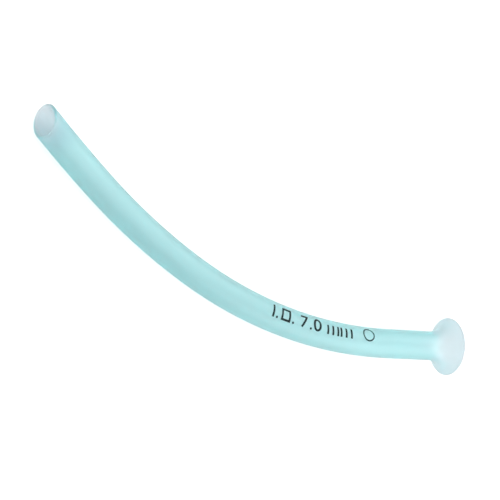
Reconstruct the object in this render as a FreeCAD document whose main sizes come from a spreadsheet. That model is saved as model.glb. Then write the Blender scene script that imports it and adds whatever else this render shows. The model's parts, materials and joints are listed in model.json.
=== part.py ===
# A nasopharyngeal airway: a soft clear tube, curved to follow the nose and the throat and moulded as one piece.
#
# A round tube leaves a flange that opens like a trumpet. It runs straight for a neck, then follows three bends that
# grow gentler towards the tip, where it is cut off slantwise and both edges of the cut are rounded. The wall has the
# same thickness from the rim of the flange to the tip.
#
# The piece is drawn flat first: its origin is in the middle of the flange's open face, the tube leaves along -X and
# bends towards +Y. It is then laid on a table, Z up, as it comes to rest on the flange's rim and the side of a bend.
#
# Lengths are in millimetres and angles in degrees.
import FreeCAD, Part

import math
import os

import Sketcher

NODE = "airway_tube"
SIZES = {
    "bore_diameter": 7.0,
    "wall": 1.15,
    "flange_diameter": 18.5,
    "flare_radius": 7.3,
    "neck_length": 17.0,
    "near_bend_radius": 147.0,
    "near_bend_angle": 29.7,
    "middle_bend_radius": 194.0,
    "middle_bend_angle": 11.4,
    "far_bend_radius": 415.0,
    "far_bend_angle": 3.45,
    "bevel_angle": 36.0,
    "bevel_facing": 31.0,
    "tip_rounding": 0.45,
}
BENDS = ("near_bend", "middle_bend", "far_bend")
OUTER_DIAMETER = "(sizes.bore_diameter + 2 * sizes.wall)"

# The tip's rounding takes at most this share of the wall, so that its two edges never meet.
ROUNDING_SHARE = 0.4

# How finely the surface is sampled, and how far the piece rolls at a time, to find how it lies on the table.
CONTACT_FINENESS = 0.02
FIRST_ROLL = 4.0
LAST_ROLL = 0.002
ROLL_HEADINGS = 24

START, END, CENTRE = 1, 2, 3
ORIGIN = (-1, START)
X_AXIS = -1
UP = FreeCAD.Vector(0, 0, 1)


def make_sheet(doc):
    """The driving dimensions, each under its own alias."""
    sheet = doc.addObject("Spreadsheet::Sheet", "sizes")
    for row, (name, size) in enumerate(SIZES.items(), start=1):
        sheet.set(f"A{row}", name)
        sheet.set(f"B{row}", str(size))
        sheet.setAlias(f"B{row}", name)
    doc.recompute()
    return sheet


def add_sketch(body, name, role):
    """An empty sketch on one of the body's own origin planes."""
    sketch = body.newObject("Sketcher::SketchObject", name)
    plane = next(f for f in body.Origin.OriginFeatures if f.Role == role)
    sketch.AttachmentSupport = [(plane, "")]
    sketch.MapMode = "FlatFace"
    return sketch


def add_line(sketch, start, end):
    return sketch.addGeometry(Part.LineSegment(FreeCAD.Vector(*start), FreeCAD.Vector(*end)))


def add_circle(sketch, radius):
    return sketch.addGeometry(Part.Circle(FreeCAD.Vector(), UP, radius))


def add_arc(sketch, centre, radius, start, end):
    """An anticlockwise arc between two angles in radians."""
    circle = Part.Circle(FreeCAD.Vector(*centre), UP, radius)
    return sketch.addGeometry(Part.ArcOfCircle(circle, start, end))


def tie(sketch, kind, *places):
    """A constraint without a size, such as Coincident or Tangent."""
    sketch.addConstraint(Sketcher.Constraint(kind, *places))


def measure(sketch, name, kind, *places):
    """A named constraint with the size that the drawing has now."""
    if kind == "Radius":
        size = sketch.Geometry[places[0]].Radius
    elif kind == "Diameter":
        size = 2 * sketch.Geometry[places[0]].Radius
    elif kind == "Distance":
        size = sketch.Geometry[places[0]].length()
    elif kind == "Angle":
        arc = sketch.Geometry[places[0]]
        size = arc.LastParameter - arc.FirstParameter
    else:
        span = sketch.getPoint(*places[2:]) - sketch.getPoint(*places[:2])
        size = span.x if kind == "DistanceX" else span.y
    index = sketch.addConstraint(Sketcher.Constraint(kind, *places, size))
    sketch.renameConstraint(index, name)
    return index


def drive(sketch, name, expression, kind, *places):
    """A size of the drawing that follows the sheet."""
    measure(sketch, name, kind, *places)
    sketch.setExpression(f"Constraints.{name}", expression)


def read_off(sketch, name, kind, *places):
    """A size that the rest of the drawing settles, kept under a name for other drawings."""
    sketch.setDriving(measure(sketch, name, kind, *places), False)


def make_flange(body, sheet):
    """The flange: a band as thick as the wall that curls away from the axis and ends in a round rim."""
    inner = sheet.bore_diameter / 2
    outer = inner + sheet.wall
    half_wall = sheet.wall / 2
    middle_radius = sheet.flare_radius + half_wall
    sweep = math.acos(1 - (sheet.flange_diameter / 2 - outer) / middle_radius)
    root = -(middle_radius * math.sin(sweep) + half_wall)
    hub = (root, outer + sheet.flare_radius, 0)
    rim = (-half_wall, sheet.flange_diameter / 2 - half_wall, 0)
    turn = math.pi / 2

    sketch = add_sketch(body, "flange_section", "XY_Plane")
    joint = add_line(sketch, (root, inner, 0), (root, outer, 0))
    back = add_arc(sketch, hub, sheet.flare_radius, -turn, sweep - turn)
    edge = add_arc(sketch, rim, half_wall, sweep - turn, sweep + turn)
    front = add_arc(sketch, hub, sheet.flare_radius + sheet.wall, -turn, sweep - turn)

    tie(sketch, "Vertical", joint)
    tie(sketch, "Coincident", joint, START, front, START)
    tie(sketch, "Coincident", joint, END, back, START)
    tie(sketch, "Coincident", back, CENTRE, front, CENTRE)
    tie(sketch, "Vertical", joint, END, back, CENTRE)
    tie(sketch, "Tangent", back, END, edge, END)
    tie(sketch, "Tangent", front, END, edge, START)
    drive(sketch, "bore_radius", "sizes.bore_diameter / 2", "DistanceY", *ORIGIN, joint, START)
    drive(sketch, "wall", "sizes.wall", "DistanceY", joint, START, joint, END)
    drive(sketch, "flare_radius", "sizes.flare_radius", "Radius", back)
    drive(sketch, "rim_radius", "(sizes.flange_diameter - sizes.wall) / 2", "DistanceY", *ORIGIN, edge, CENTRE)
    drive(sketch, "rim_depth", "sizes.wall / 2", "DistanceX", edge, CENTRE, *ORIGIN)
    read_off(sketch, "length", "DistanceX", joint, END, *ORIGIN)

    flange = body.newObject("PartDesign::Revolution", "flange")
    flange.Profile = sketch
    flange.ReferenceAxis = (sketch, ["H_Axis"])
    flange.Angle = 360
    body.Document.recompute()
    return sketch


def make_path(body, sheet, flange_section):
    """The tube's middle line: the neck, the three bends, and a straight run for the slanted cut to take off."""
    sketch = add_sketch(body, "path", "XY_Plane")
    root = -flange_section.getDatum("length").Value
    neck = add_line(sketch, (root, 0, 0), (root - sheet.neck_length, 0, 0))
    tie(sketch, "PointOnObject", neck, START, X_AXIS)
    tie(sketch, "Horizontal", neck)
    drive(sketch, "flange_length", "flange_section.Constraints.length", "DistanceX", neck, START, *ORIGIN)
    drive(sketch, "neck_length", "sizes.neck_length", "DistanceX", neck, END, neck, START)

    last = (neck, END)
    heading = 0.0
    for bend in BENDS:
        radius = getattr(sheet, f"{bend}_radius")
        turned = heading + math.radians(getattr(sheet, f"{bend}_angle"))
        inward = FreeCAD.Vector(math.sin(heading), math.cos(heading))
        hub = sketch.getPoint(*last) + inward * radius
        arc = add_arc(sketch, hub, radius, -math.pi / 2 - turned, -math.pi / 2 - heading)
        tie(sketch, "Tangent", *last, arc, END)
        drive(sketch, f"{bend}_radius", f"sizes.{bend}_radius", "Radius", arc)
        drive(sketch, f"{bend}_angle", f"sizes.{bend}_angle * 1 deg", "Angle", arc)
        last = (arc, START)
        heading = turned

    tip = sketch.getPoint(*last)
    onward = FreeCAD.Vector(-math.cos(heading), math.sin(heading))
    spare = add_line(sketch, tip, tip + onward * (sheet.bore_diameter + 2 * sheet.wall))
    tie(sketch, "Tangent", *last, spare, START)
    drive(sketch, "spare_length", OUTER_DIAMETER, "Distance", spare)
    read_off(sketch, "tip_x", "DistanceX", *ORIGIN, *last)
    read_off(sketch, "tip_y", "DistanceY", *ORIGIN, *last)
    body.Document.recompute()
    return sketch


def make_tube(body, sheet, path):
    """The tube: a ring as wide as the bore and the wall, carried along the middle line."""
    ring = add_sketch(body, "tube_section", "YZ_Plane")
    ring.setExpression("AttachmentOffset.Base.z", "-path.Constraints.flange_length")
    for name, expression in (("bore_diameter", "sizes.bore_diameter"), ("outer_diameter", OUTER_DIAMETER)):
        circle = add_circle(ring, sheet.evalExpression(expression) / 2)
        tie(ring, "Coincident", circle, CENTRE, *ORIGIN)
        drive(ring, name, expression, "Diameter", circle)

    tube = body.newObject("PartDesign::AdditivePipe", "tube")
    tube.Profile = ring
    tube.Spine = (path, [f"Edge{i}" for i in range(1, path.GeometryCount + 1)])
    body.Document.recompute()


def cut_tip(body):
    """The slanted cut, square to a line that leans off the tube's end by the bevel's angle.

    It leans towards the outside of the bend when the facing is 0, and up, as the piece is drawn, when it is 90.
    """
    place = "vector(path.Constraints.tip_x; path.Constraints.tip_y; 0)"
    along_tube = f"rotationz(180 - {' - '.join(f'sizes.{bend}_angle' for bend in BENDS)})"
    lean = "rotationx(sizes.bevel_facing) * rotationz(sizes.bevel_angle)"
    cutter = add_sketch(body, "bevel", "XY_Plane")
    cutter.setExpression("AttachmentOffset", f"placement({place}; {along_tube} * {lean} * rotationy(90))")
    circle = add_circle(cutter, 1)
    tie(cutter, "Coincident", circle, CENTRE, *ORIGIN)
    drive(cutter, "radius", OUTER_DIAMETER, "Radius", circle)

    cut = body.newObject("PartDesign::Pocket", "slanted_cut")
    cut.Profile = cutter
    cut.Reversed = True
    cut.setExpression("Length", f"2 * {OUTER_DIAMETER}")
    body.Document.recompute()
    return cutter


def round_tip(body, cutter):
    """Rounds both edges of the slanted cut, the outer one and the bore's."""
    facing = cutter.Placement.Rotation.multVec(UP)
    cut = body.Tip
    face = next(f for f in cut.Shape.Faces if abs(f.normalAt(0, 0).dot(facing)) > 0.999999)
    names = [f"Edge{i}" for i, edge in enumerate(cut.Shape.Edges, start=1) if any(edge.isSame(e) for e in face.Edges)]
    rounding = body.newObject("PartDesign::Fillet", "tip_rounding")
    rounding.Base = (cut, names)
    rounding.setExpression("Radius", f"min(sizes.tip_rounding; {ROUNDING_SHARE} * sizes.wall)")
    body.Document.recompute()


def lay_down(body):
    """Lays the piece on the table, in the middle of its own box, as it comes to rest.

    It rolls, a little at a time, to wherever its centre of mass gets lower, until no small roll lowers it.
    """
    centre = body.Shape.CenterOfMass
    reaches = [point - centre for point in body.Shape.tessellate(CONTACT_FINENESS)[0]]

    def height(down):
        return max(reach.dot(down) for reach in reaches)

    down = -UP
    roll = FIRST_ROLL
    while roll > LAST_ROLL:
        turns = (FreeCAD.Rotation(UP, 360 * i / ROLL_HEADINGS) for i in range(ROLL_HEADINGS))
        axes = (turn.multVec(FreeCAD.Vector(1, 0, 0)) for turn in turns)
        best = min((FreeCAD.Rotation(axis, roll).multVec(down) for axis in axes), key=height)
        if height(best) < height(down):
            down = best
        else:
            roll /= 2

    body.Placement = FreeCAD.Placement(FreeCAD.Vector(), FreeCAD.Rotation(down, -UP))
    box = body.Shape.optimalBoundingBox(False, False)
    body.Placement.Base = -FreeCAD.Vector(box.Center.x, box.Center.y, box.ZMin)
    body.Document.recompute()


def check(doc, body):
    """Stops if any object failed, or if the piece isn't one sound solid."""
    for item in doc.Objects:
        if {"Invalid", "Error"} & set(item.State):
            raise RuntimeError(f"{item.Name} failed")
    if body.Shape.isNull() or not body.Shape.isValid() or len(body.Shape.Solids) != 1:
        raise RuntimeError(f"{body.Name} isn't one sound solid")


def main():
    doc = FreeCAD.newDocument("nasopharyngeal_airway")
    sheet = make_sheet(doc)
    body = doc.addObject("PartDesign::Body", NODE)
    body.Label = NODE
    body.AllowCompound = False
    flange_section = make_flange(body, sheet)
    path = make_path(body, sheet, flange_section)
    make_tube(body, sheet, path)
    whole = body.Shape.Volume
    cutter = cut_tip(body)
    if not body.Shape.Volume < whole:
        raise RuntimeError("the slanted cut took nothing off")
    round_tip(body, cutter)
    lay_down(body)
    check(doc, body)
    os.makedirs("parts", exist_ok=True)
    body.Shape.exportStep(os.path.join("parts", f"{NODE}.step"))


main()
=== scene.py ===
"""The looks of a nasopharyngeal airway: a soft, frosted, blue-green tube on its side on a white table.

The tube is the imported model's own mesh with a translucent material. Plain marks in dark ink are printed
along the side that faces the camera: numerals, bars, dots, a box and a ring. Lengths are in metres, unless
a name says otherwise.
"""

import json
import math

import bmesh
import bpy
from mathutils import Matrix, Vector


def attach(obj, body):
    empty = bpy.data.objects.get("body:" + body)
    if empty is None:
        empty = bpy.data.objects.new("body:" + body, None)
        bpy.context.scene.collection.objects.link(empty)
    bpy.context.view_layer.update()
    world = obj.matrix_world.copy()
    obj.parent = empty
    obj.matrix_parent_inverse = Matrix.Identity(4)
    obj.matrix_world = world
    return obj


MM = 0.001

# The tube, as it is built: its bend starts where the straight neck ends.
OUTER_RADIUS = 4.65 * MM
BEND_RADIUS = 147 * MM

# The print reads towards the flange. Its first mark lies this far round the bend. Its base line starts this
# far round the tube from the top, and leans.
PRINT_START = 46.2 * MM
PRINT_BASE = math.radians(-11)
PRINT_LEAN = math.radians(1.7)

# The strokes of the print, how thick the ink is, and how far it stands off the tube.
STROKE = 0.68 * MM
NUMERAL_BOLDNESS = 0.009
INK_THICKNESS = 0.03 * MM
INK_GAP = 0.005 * MM

# How the flat print is cut up before it is bent round the tube.
CUT_LENGTH = 0.35 * MM
CUT_SLACK = 0.001 * MM
WELD_DISTANCE = 0.002 * MM

# The slanted tip: the middle of the cut, the way that the cut faces, and the way that the tube heads there.
TIP_CENTRE = Vector((-73.18, 31.48, 5.48)) * MM
CUT_FACING = Vector((-0.9492, 0.1785, 0.2592))
TIP_HEADING = Vector((-0.7135, 0.7001, 0.0260))

# The painted parts, the flange's painted haze of light and the tip's painted shade: where each begins to
# show and where it is full. The flange's is measured along X, the cut face's along the way that it faces,
# the bore's along the tube, and the wall's out from the tube's middle.
FLANGE_FADE = (64.5 * MM, 69 * MM)
FACE_FADE = (-1.6 * MM, -0.3 * MM)
BORE_FADE = (-12 * MM, -6 * MM)
WALL_FADE = (4.3 * MM, 3.8 * MM)
FACE_SHARE = 0.3

# Tints, and how clear the tube is. The flange's painted haze of light and the tip's painted shade are taken
# off that clearness.
CLEAR_TINT = (1, 0.975, 0.982, 1)
CLOUDED_TINT = (0.96, 0.945, 0.957, 1)
# Painted haze of light: the flange's lavender tint stands in for the pale light that the lamps leave on it.
FLANGE_PAINTED_LIGHT_TINT = (0.93, 0.85, 0.887, 1)
# Painted shade: the tip's grey tint stands in for the shade inside its opening.
TIP_PAINTED_SHADE_TINT = (0.93, 0.87, 0.923, 1)
CLEARNESS = 0.94
# The flange's milk is a painted haze of light, and the tip's is a painted shade.
FLANGE_PAINTED_LIGHT = 0.15
TIP_PAINTED_SHADE = 0.45

INK_BLACK = (0.008, 0.014, 0.014, 1)
INK_THIN = (0.02, 0.032, 0.032, 1)

# How fine the noise is, in cells per metre, and how high the grain stands.
CLOUDS = 90
GRAIN = 2500
GRAIN_HEIGHT = 0.03 * MM
INK_CLOUDS = 3000

# The strength of the white room that lights the tube, and the table's side and depth below the tube.
ROOM = 0.815
TABLE_SIDE = 8
TABLE_DROP = 0.05 * MM

# The camera, on the photograph's line of sight.
CAMERA_PLACE = Vector((-354.09, -88.90, 489.59)) * MM
CAMERA_AIM = Vector((2.41, 0.26, 0)) * MM
CAMERA_UP = Vector((-0.0708, 0.9892, 0.1286))
LENS_MM = 143.4
SENSOR_MM = 36


def new_material(name, library=bpy.data.materials):
    """An empty material, or world, and a function that adds nodes to it."""
    material = library.new(name)
    material.use_nodes = True
    tree = material.node_tree
    tree.nodes.clear()

    def add(kind, **inputs):
        """A node with these inputs, each a value or a socket, under its name or its number, such as _0."""
        node = tree.nodes.new(f"ShaderNode{kind}")
        for key, value in inputs.items():
            socket = node.inputs[int(key[1:]) if key[0] == "_" else key.replace("_", " ")]
            if isinstance(value, bpy.types.NodeSocket):
                tree.links.new(value, socket)
            else:
                socket.default_value = value
        return node

    return material, add


def spread(add, value, low, high):
    """The value, from 0 to 1, carried over to run from low to high."""
    return add("MapRange", Value=value, To_Min=low, To_Max=high).outputs["Result"]


def ramp(add, value, low, high):
    """0 where the value is low, 1 where it is high, and a smooth rise between."""
    rise = add("MapRange", Value=value, From_Min=low, From_Max=high)
    rise.interpolation_type = "SMOOTHSTEP"
    return rise.outputs["Result"]


def blend(add, factor, low, high):
    """The first colour where the factor is 0, the second where it is 1."""
    mix = add("Mix", _0=factor, _6=low, _7=high)
    mix.data_type = "RGBA"
    return mix.outputs[2]


def maths(add, operation, first, second):
    node = add("Math", _0=first, _1=second)
    node.operation = operation
    return node.outputs[0]


def vectors(add, operation, first, second, output="Vector"):
    node = add("VectorMath", _0=first, _1=second)
    node.operation = operation
    return node.outputs[output]


def tip_painted_shade_share(add, place):
    """How much of the tip's painted shade a place takes: all of it inside the bore's mouth, and part of it
    on the face of the cut."""
    from_tip = vectors(add, "SUBTRACT", place, TIP_CENTRE)
    ahead = vectors(add, "DOT_PRODUCT", from_tip, CUT_FACING, "Value")
    face = ramp(add, ahead, *FACE_FADE)
    along = vectors(add, "DOT_PRODUCT", from_tip, TIP_HEADING, "Value")
    near_tip = ramp(add, along, *BORE_FADE)
    across = vectors(add, "CROSS_PRODUCT", from_tip, TIP_HEADING)
    off_axis = vectors(add, "LENGTH", across, (0, 0, 0), "Value")
    inside = ramp(add, off_axis, *WALL_FADE)
    bore = maths(add, "MULTIPLY", near_tip, inside)
    return maths(add, "MAXIMUM", maths(add, "MULTIPLY", face, FACE_SHARE), bore)


def soft_pvc():
    """Frosted, dyed PVC: light passes through it and loses some of its red on the way. It is faintly cloudy
    and finely grained. The flange is tinted lavender and clouded as a painted haze of light, and the tip's
    opening is tinted grey and clouded as a painted shade."""
    material, add = new_material("soft_pvc")
    place = add("TexCoord").outputs["Object"]
    flange = ramp(add, add("SeparateXYZ", Vector=place).outputs["X"], *FLANGE_FADE)
    tip = tip_painted_shade_share(add, place)
    cloud = add("TexNoise", Vector=place, Scale=CLOUDS, Detail=3).outputs[0]
    tint = blend(add, cloud, CLEAR_TINT, CLOUDED_TINT)
    # Painted haze of light: the flange is tinted lavender.
    tint = blend(add, flange, tint, FLANGE_PAINTED_LIGHT_TINT)
    # Painted shade: the tip's opening is tinted grey.
    tint = blend(add, tip, tint, TIP_PAINTED_SHADE_TINT)
    # Less clearness on the flange and at the tip: a painted haze of light and a painted shade.
    flange_painted_light = maths(add, "MULTIPLY", flange, FLANGE_PAINTED_LIGHT)
    tip_painted_shade = maths(add, "MULTIPLY", tip, TIP_PAINTED_SHADE)
    painted_light_and_shade = maths(add, "ADD", flange_painted_light, tip_painted_shade)
    grain = add("TexNoise", Vector=place, Scale=GRAIN, Detail=2).outputs[0]
    bump = add("Bump", Strength=0.3, Distance=GRAIN_HEIGHT, Height=grain)
    surface = add(
        "BsdfPrincipled",
        Base_Color=tint,
        Roughness=spread(add, cloud, 0.36, 0.46),
        IOR=1.43,
        Transmission_Weight=maths(add, "SUBTRACT", CLEARNESS, painted_light_and_shade),
        Coat_Weight=0.9,
        Coat_Roughness=0.37,
        Sheen_Weight=0.05,
        Sheen_Roughness=0.5,
        Normal=bump.outputs[0],
    )
    dye = add("VolumeAbsorption", Color=(0.15, 0.987, 1, 1), Density=290)
    add("OutputMaterial", Surface=surface.outputs["BSDF"], Volume=dye.outputs["Volume"])
    return material


def ink():
    """Dark, slightly uneven ink, a little thinner in places."""
    material, add = new_material("ink")
    place = add("TexCoord").outputs["Object"]
    cloud = add("TexNoise", Vector=place, Scale=INK_CLOUDS, Detail=3).outputs[0]
    thin = ramp(add, cloud, 0.35, 0.75)
    bump = add("Bump", Strength=0.2, Distance=INK_THICKNESS / 3, Height=cloud)
    surface = add(
        "BsdfPrincipled",
        Base_Color=blend(add, thin, INK_BLACK, INK_THIN),
        Roughness=spread(add, cloud, 0.55, 0.75),
        Specular_IOR_Level=0.25,
        Normal=bump.outputs[0],
    )
    add("OutputMaterial", Surface=surface.outputs["BSDF"])
    return material


def shown(add, plain, through):
    """A strength for rays straight from the camera, and another for those that glass or gloss passes on."""
    path = add("LightPath")
    passed_on = maths(add, "MAXIMUM", path.outputs["Is Glossy Ray"], path.outputs["Is Transmission Ray"])
    direct = maths(add, "MULTIPLY", path.outputs["Is Camera Ray"], plain)
    return maths(add, "MAXIMUM", maths(add, "MULTIPLY", passed_on, through), direct)


def table_white():
    """White in plain view, and still darker where the tube keeps the light off it."""
    material, add = new_material("table_white")
    paint = add("BsdfDiffuse", Color=(0.85, 0.85, 0.85, 1))
    glow = add("Emission", Strength=shown(add, plain=0.5, through=0.26))
    both = add("AddShader", _0=paint.outputs[0], _1=glow.outputs[0])
    add("OutputMaterial", Surface=both.outputs[0])
    return material


def box(left, right, low, high):
    """A rectangle, as the corners of a closed outline."""
    return [(left, low), (right, low), (right, high), (left, high)]


def bar(x, height):
    """An upright stroke that stands on the base line."""
    return box(x - STROKE / 2, x + STROKE / 2, 0, height)


def circle(x, y, radius, sides=48):
    angles = (2 * math.pi * i / sides for i in range(sides))
    return [(x + radius * math.cos(a), y + radius * math.sin(a)) for a in angles]


def curve_mesh(curve):
    """The mesh of a curve or of a piece of text."""
    holder = bpy.data.objects.new(curve.name, curve)
    mesh = bpy.data.meshes.new_from_object(holder)
    bpy.data.objects.remove(holder)
    return mesh


def flat_shape(name, outlines):
    """A flat, filled shape. An outline inside another is a hole."""
    curve = bpy.data.curves.new(name, "CURVE")
    curve.dimensions = "2D"
    curve.fill_mode = "BOTH"
    for outline in outlines:
        spline = curve.splines.new("POLY")
        spline.points.add(len(outline) - 1)
        for point, (x, y) in zip(spline.points, outline):
            point.co = (x, y, 0, 1)
        spline.use_cyclic_u = True
    return curve_mesh(curve)


def numeral(character, x, width, height):
    """A numeral whose own outline fills this width and height, with its foot on the base line."""
    curve = bpy.data.curves.new(character, "FONT")
    curve.body = character
    curve.offset = NUMERAL_BOLDNESS
    mesh = curve_mesh(curve)
    xs = [v.co.x for v in mesh.vertices]
    ys = [v.co.y for v in mesh.vertices]
    fit = Matrix.Diagonal((width / (max(xs) - min(xs)), height / (max(ys) - min(ys)), 1, 1))
    mesh.transform(Matrix.Translation((x, 0, 0)) @ fit @ Matrix.Translation((-min(xs), -min(ys), 0)))
    return mesh


def marks():
    """The print, laid out flat: reading to the right from the first bar, with the base line at y = 0."""
    cap = 4.0 * MM
    low_cap = 3.0 * MM
    dot = 0.36 * MM
    left, right = 2.95 * MM, 6.4 * MM
    dots_mm = (1.45, 7.5, 14.25)
    ticks_mm = (20.75, 22.7, 24.6, 25.85, 27.8, 29.8)
    ring_x, ring_y = 36.55 * MM, 2.0 * MM
    ring_radii = (2.2 * MM, 1.77 * MM)
    yield numeral("7", 10.3 * MM, width=2.85 * MM, height=3.85 * MM)
    yield numeral("0", 15.2 * MM, width=3.0 * MM, height=4.1 * MM)
    yield flat_shape("bar", [bar(0, cap)])
    hole = box(left + STROKE, right - STROKE, STROKE, cap - STROKE)
    yield flat_shape("box", [box(left, right, 0, cap), hole])
    for x in dots_mm:
        yield flat_shape("dot", [circle(x * MM, dot, dot, sides=20)])
    for x in ticks_mm:
        yield flat_shape("tick", [bar(x * MM, low_cap)])
    yield flat_shape("ring", [circle(ring_x, ring_y, radius) for radius in ring_radii])


def tube_line(tube, record):
    """Where the neck ends, the way along the tube there, and the side that it bends to."""
    neck = next(m for m in record["mounts"] if m["name"] == "neck_bore")
    along = -Vector(neck["axis"]).normalized()
    start = Vector(neck["pos_m"]) + along * neck["dims"]["length_mm"] * MM / 2
    far = [v.co for v in tube.data.vertices if (v.co - start).length > BEND_RADIUS / 2]
    side = sum(far, Vector()) / len(far) - start
    return start, along, (side - side.dot(along) * along).normalized()


def wrap(mesh, tube, line):
    """Bends the flat print round the tube, a little above its surface."""
    start, along, side = line
    up = side.cross(along)
    if up.z < 0:
        up = -up
    lean = Matrix.Rotation(PRINT_LEAN, 4, "Z")
    for vertex in mesh.vertices:
        flat = lean @ vertex.co
        turn = (PRINT_START - flat.x) / BEND_RADIUS
        inward = math.cos(turn) * side - math.sin(turn) * along
        middle = start + BEND_RADIUS * side - BEND_RADIUS * inward
        angle = PRINT_BASE + flat.y / OUTER_RADIUS
        outward = math.cos(angle) * up + math.sin(angle) * inward
        _, place, _, _ = tube.closest_point_on_mesh(middle + outward * OUTER_RADIUS)
        vertex.co = place + outward * INK_GAP


def cut_up(shapes):
    """Cuts the flat shapes into small pieces along X and along Y."""
    for axis in (0, 1):
        places = [v.co[axis] for v in shapes.verts]
        normal = Vector((1 - axis, axis, 0))
        steps = math.ceil((max(places) - min(places)) / CUT_LENGTH)
        for i in range(1, steps):
            point = normal * (min(places) + i * CUT_LENGTH)
            everything = shapes.verts[:] + shapes.edges[:] + shapes.faces[:]
            bmesh.ops.bisect_plane(shapes, geom=everything, plane_co=point, plane_no=normal, dist=CUT_SLACK)


def make_print(tube, record):
    """All the marks, cut fine enough to follow the tube and given the ink's thickness."""
    shapes = bmesh.new()
    for mesh in marks():
        shapes.from_mesh(mesh)
        bpy.data.meshes.remove(mesh)
    cut_up(shapes)
    bmesh.ops.remove_doubles(shapes, verts=shapes.verts[:], dist=WELD_DISTANCE)
    mesh = bpy.data.meshes.new("printed_marks")
    shapes.to_mesh(mesh)
    shapes.free()
    wrap(mesh, tube, tube_line(tube, record))
    mesh.materials.append(ink())
    piece = bpy.data.objects.new("printed_marks", mesh)
    bpy.context.collection.objects.link(piece)
    thickness = piece.modifiers.new("thickness", "SOLIDIFY")
    thickness.thickness = INK_THICKNESS
    thickness.offset = 1
    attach(piece, "root")


def make_table():
    bpy.ops.mesh.primitive_plane_add(size=TABLE_SIDE, location=(0, 0, -TABLE_DROP))
    table = bpy.context.object
    table.name = "table"
    table.data.materials.append(table_white())


def add_lamp(name, place, width, height, energy):
    """A rectangular soft light that faces the middle of the table. Its width lies level."""
    lamp = bpy.data.lights.new(name, "AREA")
    lamp.shape = "RECTANGLE"
    lamp.size = width
    lamp.size_y = height
    lamp.energy = energy
    holder = bpy.data.objects.new(name, lamp)
    holder.location = place
    holder.rotation_euler = (-holder.location).to_track_quat("-Z", "Y").to_euler()
    bpy.context.collection.objects.link(holder)


def make_lights():
    """An even white room, which glass and gloss see as white, and two soft lamps on the flange's side."""
    world, add = new_material("studio", bpy.data.worlds)
    bpy.context.scene.world = world
    in_view = shown(add, plain=1 - ROOM, through=1 - ROOM)
    room = add("Background", Color=(1, 1, 1, 1), Strength=maths(add, "ADD", ROOM, in_view))
    add("OutputWorld", Surface=room.outputs[0])
    add_lamp("key", place=(0.67, -0.67, 0.45), width=1.6, height=1.0, energy=6.7)
    add_lamp("upper", place=(0.6, 0.42, 0.63), width=0.8, height=0.7, energy=1.9)


def make_camera():
    back = (CAMERA_PLACE - CAMERA_AIM).normalized()
    right = CAMERA_UP.cross(back).normalized()
    turn = Matrix((right, back.cross(right), back)).transposed().to_4x4()
    lens = bpy.data.cameras.new("camera")
    lens.lens = LENS_MM
    lens.sensor_width = SENSOR_MM
    camera = bpy.data.objects.new("camera", lens)
    camera.matrix_world = Matrix.Translation(CAMERA_PLACE) @ turn
    bpy.context.collection.objects.link(camera)
    bpy.context.scene.camera = camera


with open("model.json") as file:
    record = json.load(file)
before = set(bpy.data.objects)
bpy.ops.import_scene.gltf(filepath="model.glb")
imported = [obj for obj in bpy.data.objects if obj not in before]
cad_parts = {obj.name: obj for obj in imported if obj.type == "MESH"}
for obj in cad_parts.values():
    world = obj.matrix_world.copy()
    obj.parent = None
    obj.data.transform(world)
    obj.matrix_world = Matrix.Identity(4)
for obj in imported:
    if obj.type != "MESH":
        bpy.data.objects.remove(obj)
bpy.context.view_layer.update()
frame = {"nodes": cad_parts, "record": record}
bpy.context.scene.view_settings.view_transform = "Standard"
tube = frame["nodes"]["airway_tube"]
material = soft_pvc()
for slot in tube.material_slots:
    slot.material = material
make_print(tube, frame["record"])
make_table()
make_lights()
make_camera()
